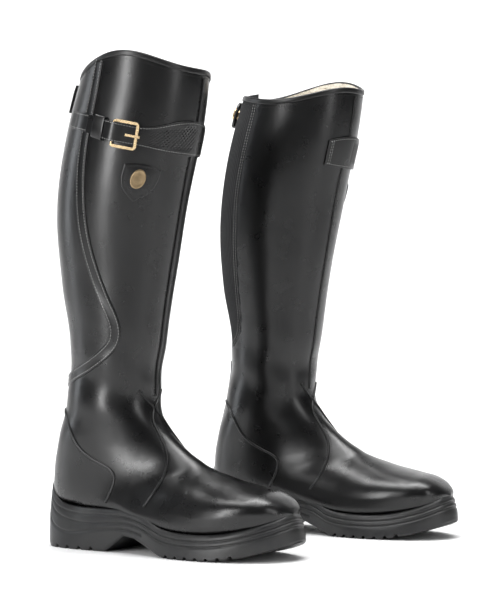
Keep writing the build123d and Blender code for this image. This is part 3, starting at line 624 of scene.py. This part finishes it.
def stitch_group():
    """Stitches of a given length and pitch along the incoming curve."""
    group = bpy.data.node_groups.new("stitch_row", "GeometryNodeTree")
    face = group.interface
    face.new_socket("Geometry", in_out="INPUT", socket_type="NodeSocketGeometry")
    for name, value in (("Pitch", 0.0028), ("Length", 0.0021), ("Thickness", 0.0004)):
        socket = face.new_socket(name, in_out="INPUT", socket_type="NodeSocketFloat")
        socket.default_value = value
    face.new_socket("Thread", in_out="INPUT", socket_type="NodeSocketMaterial")
    face.new_socket("Geometry", in_out="OUTPUT", socket_type="NodeSocketGeometry")
    new, link = group.nodes.new, group.links.new
    given, result = new("NodeGroupInput"), new("NodeGroupOutput")
    resample = new("GeometryNodeResampleCurve")
    resample.mode = "LENGTH"
    link(given.outputs["Geometry"], resample.inputs["Curve"])
    link(given.outputs["Pitch"], resample.inputs["Length"])
    to_points = new("GeometryNodeCurveToPoints")
    to_points.mode = "EVALUATED"
    link(resample.outputs["Curve"], to_points.inputs["Curve"])
    ball = new("GeometryNodeMeshUVSphere")
    ball.inputs["Segments"].default_value = 8
    ball.inputs["Rings"].default_value = 6
    ball.inputs["Radius"].default_value = 1.0
    size = new("ShaderNodeCombineXYZ")
    halves = []
    for name in ("Thickness", "Length"):
        half = new("ShaderNodeMath")
        half.operation = "MULTIPLY"
        half.inputs[1].default_value = 0.5
        link(given.outputs[name], half.inputs[0])
        halves.append(half.outputs[0])
    link(halves[0], size.inputs["X"])
    link(halves[0], size.inputs["Y"])
    link(halves[1], size.inputs["Z"])
    put = new("GeometryNodeInstanceOnPoints")
    link(to_points.outputs["Points"], put.inputs["Points"])
    link(to_points.outputs["Rotation"], put.inputs["Rotation"])
    link(ball.outputs["Mesh"], put.inputs["Instance"])
    link(size.outputs["Vector"], put.inputs["Scale"])
    realize = new("GeometryNodeRealizeInstances")
    soft = new("GeometryNodeSetShadeSmooth")
    paint = new("GeometryNodeSetMaterial")
    link(put.outputs["Instances"], realize.inputs["Geometry"])
    link(realize.outputs["Geometry"], soft.inputs["Geometry"])
    link(soft.outputs["Geometry"], paint.inputs["Geometry"])
    link(given.outputs["Thread"], paint.inputs["Material"])
    link(paint.outputs["Geometry"], result.inputs["Geometry"])
    return group


STITCH_ROW = stitch_group()
STITCH_LENGTH = 2.0


def stitches(name, side, paths, thread=THREAD, pitch=2.8, thick=0.45):
    """Rows of stitches along paths given in the boot's own frame."""
    curve = bpy.data.curves.new(f"{side}_{name}_path", "CURVE")
    curve.dimensions = "3D"
    for path in paths:
        spline = curve.splines.new("POLY")
        spline.points.add(len(path) - 1)
        for point, place in zip(spline.points, placed(path, side)):
            point.co = (*place, 1)
    holder = bpy.data.objects.new(f"{side}_{name}_holder", curve)
    bpy.context.scene.collection.objects.link(holder)
    modifier = holder.modifiers.new("stitches", "NODES")
    modifier.node_group = STITCH_ROW
    values = {"Pitch": pitch * MM, "Length": STITCH_LENGTH * MM, "Thickness": thick * MM, "Thread": thread}
    for item in STITCH_ROW.interface.items_tree:
        if item.in_out == "INPUT" and item.name in values:
            modifier[item.identifier] = values[item.name]
    bpy.context.view_layer.update()
    mesh = bpy.data.meshes.new_from_object(holder.evaluated_get(bpy.context.evaluated_depsgraph_get()))
    bpy.data.objects.remove(holder)
    if not mesh.materials:
        mesh.materials.append(thread)
    piece = bpy.data.objects.new(f"{side}_{name}", mesh)
    bpy.context.scene.collection.objects.link(piece)
    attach(piece, f"{side}_boot")


def offset_path(path, normals, across, up):
    """A path moved sideways over the surface and up from it."""
    tangent = np.gradient(path, axis=0)
    tangent /= np.linalg.norm(tangent, axis=1, keepdims=True) + 1e-12
    sideways = np.cross(tangent, normals)
    sideways /= np.linalg.norm(sideways, axis=1, keepdims=True) + 1e-12
    return path + sideways * across + normals * up


strip_u, strip_v = side_path(STRIP_LINE, -1, 2.5)
below_top = over_top(skin(strip_u, strip_v)) < -3.5
strip_u, strip_v = strip_u[below_top], strip_v[below_top]
strip_path = skin(strip_u, strip_v)
strip_path = strip_path + skin_normal(strip_u, strip_v) * creases(strip_path)[:, None]
strip_normals = skin_normal(strip_u, strip_v)


def make_strip(side):
    """The curved strip down the outside of the leg."""
    points, faces = closed_band(strip_path, strip_normals, STRIP_SECTION)
    piece = mesh_piece("calf_strip", side, points, faces, LEATHER, stands_for=("calf_strip",))
    recalc(piece)
    rows = [offset_path(strip_path, strip_normals, across, 1.25) for across in (-3.5, 3.5)]
    stitches("strip_stitches", side, rows, thick=0.55)


def seam_runs():
    """(u, v) runs of every piped seam."""
    runs = []
    for line in (VAMP_LINE, COUNTER_LINE):
        for which in (1, -1):
            points = [p for p in line[:-2] if p[0] > 14]
            runs.append(side_path(points, which))
    u = np.linspace(top_u(SHIN_SEAM)[0] + 0.12, SHIN_END, 150)
    runs.append((u, np.full_like(u, SHIN_SEAM)))
    return runs


def make_piping(side):
    """Corded piping down the shin, round the vamp and round the heel counter."""
    all_points, all_faces = [], []
    rows = []
    for u, v in seam_runs():
        path = skin(u, v)
        normals = skin_normal(u, v)
        path = path + normals * creases(path)[:, None]
        points, faces = closed_band(path, normals, PIPING_SECTION)
        start = sum(len(p) for p in all_points)
        all_faces += [tuple(k + start for k in f) for f in faces]
        all_points.append(points)
        rows.append(offset_path(path, normals, SEAM_STITCH, 0.12))
    piece = mesh_piece("piping", side, np.vstack(all_points), all_faces, TRIM, stands_for=("piping",))
    recalc(piece)
    stitches("seam_stitches", side, rows, thread=DARK_THREAD, thick=0.5)


def make_edge_stitches(side):
    """Stitches below the binding and down the gusset's edge."""
    v = np.linspace(-pi + 0.2, pi - 0.2, 400)
    u = top_u(v, -5.6)
    stitches("binding_stitches", side, [laid(u, v, 0.12)], thread=DARK_THREAD, thick=0.5)
    u, v = side_path(GUSSET_LINE, 1)
    path, normals = skin(u, v), skin_normal(u, v)
    path = path + normals * creases(path)[:, None]
    keep = over_top(path) < -4
    rows = [offset_path(path[keep], normals[keep], across, 0.2) for across in (-2.2, -5.2)]
    stitches("gusset_stitches", side, rows, thick=0.55)


for side in SIDES:
    make_upper(side)
    make_lining(side)
    make_gusset(side)
    make_binding(side)
    make_strip(side)
    make_piping(side)
    make_edge_stitches(side)

# ============================== Strap, keeper and badge ==============================
# The strap lies round the upper leg; its front part widens to a sewn end on the inside.

STRAP_TOP = np.array([(48, 412), (56, 410), (80, 405), (102, 399), (118, 395), (132, 392.5), (142, 394),
                      (152, 399), (162, 404), (175, 407)], float)
STRAP_BOTTOM = np.array([(48, 397), (56, 394.5), (80, 389), (102, 381.5), (118, 378), (132, 375), (142, 372),
                         (152, 369), (162, 368), (175, 368)], float)
CHAPE_RUN = np.array([(126, 0.1), (118, 0.3), (110, 1.5), (94, 1.5), (88, 1.0), (82, 0.2), (78, 0.2)])
BILLET_RUN = np.array([(-32, 0.3), (-20, 0.6), (0, 1.4), (20, 0.8), (38, 0.4), (50, 0.4), (56, 0.7),
                       (62, 2.4), (68, 5.0), (74.3, 6.3), (79, 5.4), (84, 3.6), (90, 3.3), (98, 3.4)])


CHAPE_THICK, BILLET_THICK = 1.5, 1.8
STRAP_HEIGHT = 386.0  # a height inside the strap all the way round
BRAID_PITCH, BRAID_DEPTH = 0.78, 0.55  # ridges per millimetre, in radians, and their depth


def leg_at(z, angle, out=0.0):
    """Points at heights z and angles round the leg in degrees, positive towards the outside."""
    return laid(u_at_height(z), -np.radians(angle), out)


def leg_normal(z, angle):
    """Normals out of the leg at heights z and angles in degrees."""
    return skin_normal(u_at_height(z), -np.radians(angle))


def strap_grid(run, steps, across):
    """Points and normals of a strap laid along a run, with its angles and its shares across."""
    angle = np.linspace(run[0, 0], run[-1, 0], steps)
    ups = run if run[0, 0] < run[-1, 0] else run[::-1]
    out = smooth_line(ups, 0.6)
    out = np.interp(angle, out[:, 0], out[:, 1])
    x = leg_at(np.full(steps, STRAP_HEIGHT), angle)[:, 0]
    high = np.interp(x, *smooth_line(STRAP_TOP, 1).T)
    low = np.interp(x, *smooth_line(STRAP_BOTTOM, 1).T)
    share = np.linspace(0, 1, across)
    z = low[:, None] + (high - low)[:, None] * share[None, :]
    angles = np.repeat(angle[:, None], across, 1)
    return laid(u_at_height(z), -np.radians(angles), out[:, None]), leg_normal(z, angles), angle, share


def make_straps(side):
    """Chape with its rows of stitches, and billet with a woven pattern pressed into its front."""
    grid, normals, _, _ = strap_grid(CHAPE_RUN, 60, 12)
    piece = mesh_piece("chape_strap", side, *slab(grid, normals, 0.0, CHAPE_THICK), LEATHER,
                       stands_for=("chape_strap",))
    recalc(piece)
    bevel(piece, 0.45, 3)
    rows = [grid[3:-6, j] + normals[3:-6, j] * (CHAPE_THICK + 0.05) for j in (1, -2)]
    stitches("chape_stitches", side, rows, thick=0.45, pitch=2.6)
    grid, normals, angle, share = strap_grid(BILLET_RUN, 420, 90)
    woven = np.clip((46 - angle) / 8, 0, 1)[:, None] * np.clip(np.minimum(share, 1 - share) * 9 - 1, 0, 1)
    woven *= np.clip((angle + 4) / 5, 0, 1)[:, None]
    along = np.radians(angle)[:, None] * 62
    width = share[None, :] * 30
    braid = np.abs(np.sin((along + width) * BRAID_PITCH)) * np.abs(np.sin((along - width) * BRAID_PITCH))
    piece = mesh_piece("billet_strap", side, *slab(grid, normals, 0.0, BILLET_THICK), LEATHER,
                       stands_for=("billet_strap",))
    pressed = BILLET_THICK - BRAID_DEPTH * woven * (1 - braid)
    top = (grid + normals * pressed[..., None]).reshape(-1, 3)
    for vertex, place in zip(piece.data.vertices, placed(top, side)):
        vertex.co = place
    recalc(piece)
    thread_out = BILLET_THICK + 0.05
    edge = [grid[8:-30, j] + normals[8:-30, j] * thread_out for j in (6, -7)]
    ends = [grid[k, 8:-8] + normals[k, 8:-8] * thread_out for k in (10, 16)]
    stitches("billet_stitches", side, edge + ends, thick=0.45, pitch=2.6)


def make_keeper(side):
    """Loop that holds the strap's tail."""
    angle = np.linspace(82.5, 91.5, 10)
    x = leg_at(np.full(10, STRAP_HEIGHT), angle)[:, 0]
    high = np.interp(x, *STRAP_TOP.T) + BILLET_THICK
    low = np.interp(x, *STRAP_BOTTOM.T) - BILLET_THICK
    section = [(0.0, 0.0), (0.0, 5.6), (0.06, 6.5), (0.5, 6.8), (0.94, 6.5), (1.0, 5.6), (1.0, 0.0)]
    rows = []
    for share, out in section:
        rows.append(leg_at(low + (high - low) * share, angle, out))
    grid = np.stack(rows, 1)
    normals = leg_normal(np.repeat(((low + high) / 2)[:, None], len(section), 1),
                         np.repeat(angle[:, None], len(section), 1))
    normals[:, 0], normals[:, -1] = (0, 0, -1), (0, 0, 1)
    points, faces = slab(grid, normals, -1.1, 0.0)
    piece = mesh_piece("strap_keeper", side, points, faces, LEATHER, stands_for=("strap_keeper",))
    recalc(piece)
    bevel(piece, 0.3, 2)


BADGE_ANGLE, BADGE_Z, BADGE_TILT = 46.0, 343.0, radians(-9)
PATCH_OUTLINE = [(-17.5, 13.5), (-9, 15.2), (0, 15.8), (9, 15.2), (17.5, 13.5), (17, 2), (12, -8.5),
                 (0, -17.8), (-12, -8.5), (-17, 2), (-17.5, 13.5)]
PATCH_RINGS = [(1.03, -0.6), (1.03, 0.9), (1.0, 1.35), (0.95, 1.5), (0.86, 1.35), (0.8, 1.5), (0.5, 1.7),
               (0.2, 1.75)]  # share of the outline, height over the leather
PLATE_RINGS = [(1.0, 1.2), (1.0, 2.2), (0.95, 2.6), (0.86, 2.7), (0.8, 2.45), (0.5, 2.6), (0.2, 2.7)]
PLATE_AT, PLATE_RADII, PLATE_POINTS = (-1.5, 2.5), (7.0, 8.8), 48
LEG_RADIUS = 61.0  # of the leg round the badge


def on_patch(across, up, out):
    """Points near the badge: across the leg towards its front, and up it, in millimetres."""
    x = across * cos(BADGE_TILT) - up * sin(BADGE_TILT)
    z = across * sin(BADGE_TILT) + up * cos(BADGE_TILT)
    angle = BADGE_ANGLE - np.degrees(x / LEG_RADIUS)
    return laid(u_at_height(BADGE_Z + z), -np.radians(angle), out)


def crowned(rows):
    """Points and faces of a low dome from its rings, the last one closed over."""
    count = len(rows[0])
    faces = grid_faces(len(rows), count, wrap=True)
    faces.append(tuple((len(rows) - 1) * count + j for j in range(count)))
    return np.vstack(rows), faces


def make_badge(side):
    """Shield-shaped leather patch with a plain oval plate."""
    corner = [PATCH_OUTLINE[0:5], PATCH_OUTLINE[4:8], PATCH_OUTLINE[7:11]]
    outline = np.vstack([smooth_line(part, 1.2)[:-1] for part in corner])
    rows = [on_patch(outline[:, 0] * k, outline[:, 1] * k, np.full(len(outline), h)) for k, h in PATCH_RINGS]
    piece = mesh_piece("badge_patch", side, *crowned(rows), LEATHER, stands_for=("badge_patch",))
    recalc(piece)
    edge = on_patch(outline[:, 0] * 0.9, outline[:, 1] * 0.9, np.full(len(outline), 1.5))
    stitches("patch_stitches", side, [np.vstack([edge, edge[:1]])], thread=DARK_THREAD, thick=0.55, pitch=2.6)
    turn = np.linspace(0, 2 * pi, PLATE_POINTS, endpoint=False)
    across, up = PLATE_RADII[0] * np.cos(turn), PLATE_RADII[1] * np.sin(turn)
    rows = [on_patch(PLATE_AT[0] + across * k, PLATE_AT[1] + up * k, np.full(PLATE_POINTS, h))
            for k, h in PLATE_RINGS]
    piece = mesh_piece("badge_plate", side, *crowned(rows), OLD_BRASS, stands_for=("badge_plate",))
    recalc(piece)


for side in SIDES:
    make_straps(side)
    make_keeper(side)
    make_badge(side)

# ============================== Outsole ==============================
# Moulded rubber: a ring of side walls from the tread up to a lip that hugs the leather, with
# long grooves running round it, a heel, a raised arch and cross grooves in the tread.

SOLE_OUTLINE = [(0, 0), (2.5, -15), (9, -25), (20, -32.5), (38, -37), (60, -38), (85, -37.5), (105, -39),
                (130, -44), (153, -50), (173, -53), (192, -53.5), (212, -51), (231, -45), (247, -36),
                (260, -24), (269, -10), (272, 2), (269.5, 14), (262, 26), (250, 36), (235, 44), (216, 49),
                (196, 51), (176, 50), (154, 45), (130, 39), (105, 35.5), (85, 35.5), (60, 37), (38, 36.5),
                (20, 32), (9, 25), (2.5, 14), (0, 0)]
SOLE_TOP = [(-4, 66), (3, 60), (12, 47), (25, 41), (47, 38.5), (94, 38.5), (116, 37), (134, 32.5),
            (150, 25.5), (167, 22.5), (187, 21.8), (205, 22.4), (222, 24.6), (240, 28.5), (256, 34),
            (268, 39), (280, 44)]
SOLE_UNDER = [(-4, 0), (82, 0), (84, 2), (104, 16), (118, 14.5), (150, 2), (156, 0.5), (164, 0), (205, 0),
              (218, 1.5), (238, 5), (258, 11), (280, 20)]
TREAD_GROOVES = [24, 38, 52, 66, 160, 171, 182, 193, 204, 215, 226]
GROOVE_WIDTH, GROOVE_DEPTH = 3.5, 3.0
SIDE_STEPS = 56
HEEL_MIDDLE, BALL_MIDDLE = 42, 222  # ends of the middle line that the walls are measured from
LIP_OUT, LIP_RISE = 1.4, 1.6  # how far the lip stands off the leather and turns up against it
LEATHER_RISE = 4  # the leather's widest place over the sole's top


def groove(height, at, width, depth):
    """A rounded groove of a given depth at one height."""
    return -depth * np.exp(-((height - at) / width) ** 2)


def make_outsole(side):
    """The whole outsole of one boot."""
    outline = smooth_line(SOLE_OUTLINE, 1.0)[:-1]
    count = len(outline)
    x = outline[:, 0]
    top = np.interp(x, *smooth_line(SOLE_TOP, 1.0).T)
    under = np.interp(x, *np.array(SOLE_UNDER, float).T)
    in_groove = np.min(np.abs(x[:, None] - np.array(TREAD_GROOVES)[None, :]), axis=1)
    notch = GROOVE_DEPTH * np.clip((GROOVE_WIDTH / 2 - in_groove) / 0.6 + 0.5, 0, 1)
    leather = BVHTree.FromPolygons(flat_points.reshape(-1, 3).tolist(), grid_faces(*flat_points.shape[:2]))
    middle = np.stack([np.clip(x, HEEL_MIDDLE, BALL_MIDDLE), np.zeros(count)], 1)
    out = outline - middle
    reach = np.linalg.norm(out, axis=1)
    out /= reach[:, None]
    skin_reach = np.full(count, np.nan)
    for i in range(count):
        starts = [Vector((*middle[i], top[i] + rise)) for rise in (0, LEATHER_RISE)]
        hits = [leather.ray_cast(start, Vector((*out[i], 0)), 90)[3] for start in starts]
        if None not in hits:
            skin_reach[i] = max(hits)
    known = ~np.isnan(skin_reach)
    skin_reach = np.interp(np.arange(count), np.flatnonzero(known), skin_reach[known])
    lip = np.minimum(skin_reach + LIP_OUT, reach + 1.0)
    share = np.linspace(0, 1, SIDE_STEPS)
    rings = [np.stack([x, outline[:, 1] * k, under + notch], 1) for k in (0.0, 0.35, 0.7)]
    rings.append(np.stack([*(middle + out * (reach * 0.93)[:, None]).T, under + notch], 1))
    tall = top - under
    for f in share:
        height = tall * f + notch * np.clip(1 - f * 7, 0, 1)
        below = tall - height
        wall = reach + (lip - reach) * f**1.2 - 1.2 * (1 - np.clip(f * 9, 0, 1)) ** 2
        wall += 0.9 * np.sin(pi * f) ** 2
        wall += groove(below, 4.6, 0.9, 1.3)
        wall += groove(below, 9.5 + 3.0 * np.exp(-((x - 60) / 45) ** 2), 1.0, 1.3)
        wall += groove(below, 16.0 + 7.0 * np.exp(-((x - 30) / 40) ** 2), 1.1, 1.2) * (x < 130)
        wall += -0.8 * np.clip((f - 0.93) / 0.07, 0, 1) ** 2
        rings.append(np.stack([*(middle + out * wall[:, None]).T, under + height], 1))
    rings.append(np.stack([*(middle + out * (lip - LIP_RISE)[:, None]).T, top + LIP_RISE], 1))
    rings.append(np.stack([*(middle + out * (skin_reach - 4.0)[:, None]).T, top - 1.5], 1))
    faces = grid_faces(len(rings), count, wrap=True)
    piece = mesh_piece("outsole", side, np.vstack(rings), faces, RUBBER, stands_for=("outsole",))
    weld(piece, 2e-5)
    recalc(piece)


for side in SIDES:
    make_outsole(side)

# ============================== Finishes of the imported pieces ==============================
# Pieces whose shape is right as they are keep it, with rounded edges and their finish.

FINISHES = {
    "insole_board": (BOARD, 0), "shank": (STEEL, 0), "footbed": (PILE, 0),
    "counter_stiffener": (BOARD, 0), "backstay": (LEATHER, 0.5), "zip_tapes": (TAPE, 0),
    "zip_coils": (TEETH, 0.2), "zip_slider": (BLACK_METAL, 0.35), "zip_pull": (BLACK_METAL, 0.3),
    "snap_tab": (LEATHER, 0.5), "snap_cap": (BRASS, 0.2), "snap_stud": (BRASS, 0.3),
    "buckle_frame": (BRASS, 0.8), "buckle_prong": (BRASS, 0.4),
}
for side in SIDES:
    for name, (material, width) in FINISHES.items():
        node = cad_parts[f"{side}_{name}"]
        node.data.materials.clear()
        node.data.materials.append(material)
        if width:
            bevel(node, width, 3, 30)

# ============================== Floor, light and camera ==============================
# A pale floor that curves up into a wall, tall soft lights at the sides, a broad one overhead,
# and a level camera that looks across the row from the outside of the right boot.

AWAY, ACROSS = np.array((-0.530, 0.848)), np.array((0.848, 0.530))  # from the camera, and to its right
WALL_AT, WALL_CURVE = 1.6, 0.9
FLOOR = plain("floor", (0.88, 0.88, 0.88), 0.7, wear=0.02, scale=3)


def make_backdrop():
    """Pale floor that curves up into the wall behind the boots."""
    turns = np.radians(np.arange(7.5, 91, 7.5))
    section = [(-4.0, 0.0), (-1.5, 0.0), (WALL_AT, 0.0)]
    section += [(WALL_AT + WALL_CURVE * sin(a), WALL_CURVE * (1 - cos(a))) for a in turns]
    section.append((WALL_AT + WALL_CURVE, 3.5))
    points = [(*(AWAY * far + ACROSS * wide), z) for far, z in section for wide in (-4.0, -1.3, 1.3, 4.0)]
    mesh = bpy.data.meshes.new("backdrop")
    mesh.from_pydata(points, [], grid_faces(len(section), 4))
    mesh.materials.append(FLOOR)
    mesh.shade_smooth()
    backdrop = bpy.data.objects.new("backdrop", mesh)
    bpy.context.scene.collection.objects.link(backdrop)
    recalc(backdrop)


make_backdrop()

world = bpy.data.worlds.new("studio")
world.use_nodes = True
world.node_tree.nodes["Background"].inputs["Color"].default_value = (0.86, 0.88, 0.92, 1)
world.node_tree.nodes["Background"].inputs["Strength"].default_value = 0.08
bpy.context.scene.world = world
bpy.context.scene.view_settings.view_transform = "Standard"

CAMERA_AT = np.array((1180.5, -1546.5, 230.0))
camera_data = bpy.data.cameras.new("camera")
camera_data.lens = 119.87
camera_data.sensor_width = 36.0
camera_data.shift_y = 0.0083
camera = bpy.data.objects.new("camera", camera_data)
bpy.context.scene.collection.objects.link(camera)
camera.location = placed(CAMERA_AT, "right")[0]
look = Vector((*AWAY, 0.0))
camera.rotation_euler = look.to_track_quat("-Z", "Y").to_euler()
bpy.context.scene.camera = camera


def lamp(name, at, target, size, power, colour=(1, 1, 1)):
    """A soft rectangular light."""
    data = bpy.data.lights.new(name, "AREA")
    data.shape = "RECTANGLE"
    data.size, data.size_y = size
    data.energy = power
    data.color = colour
    light = bpy.data.objects.new(name, data)
    bpy.context.scene.collection.objects.link(light)
    light.location = at
    light.rotation_euler = (Vector(target) - Vector(at)).to_track_quat("-Z", "Y").to_euler()


lamp("key", (-0.35, -2.3, 0.75), (0, 0, 0.25), (0.4, 1.9), 42)
lamp("side", (2.1, -0.3, 0.9), (0, 0, 0.25), (0.3, 1.5), 9)
lamp("left", (-1.9, -0.6, 0.8), (0, 0, 0.25), (0.3, 1.5), 8, (0.92, 0.96, 1.0))
lamp("top", (0.0, 0.0, 2.6), (0, 0, 0), (2.0, 2.0), 62)
lamp("wall", (0.0, 0.2, 2.4), (-1.2, 2.0, 0.9), (2.5, 0.8), 75)
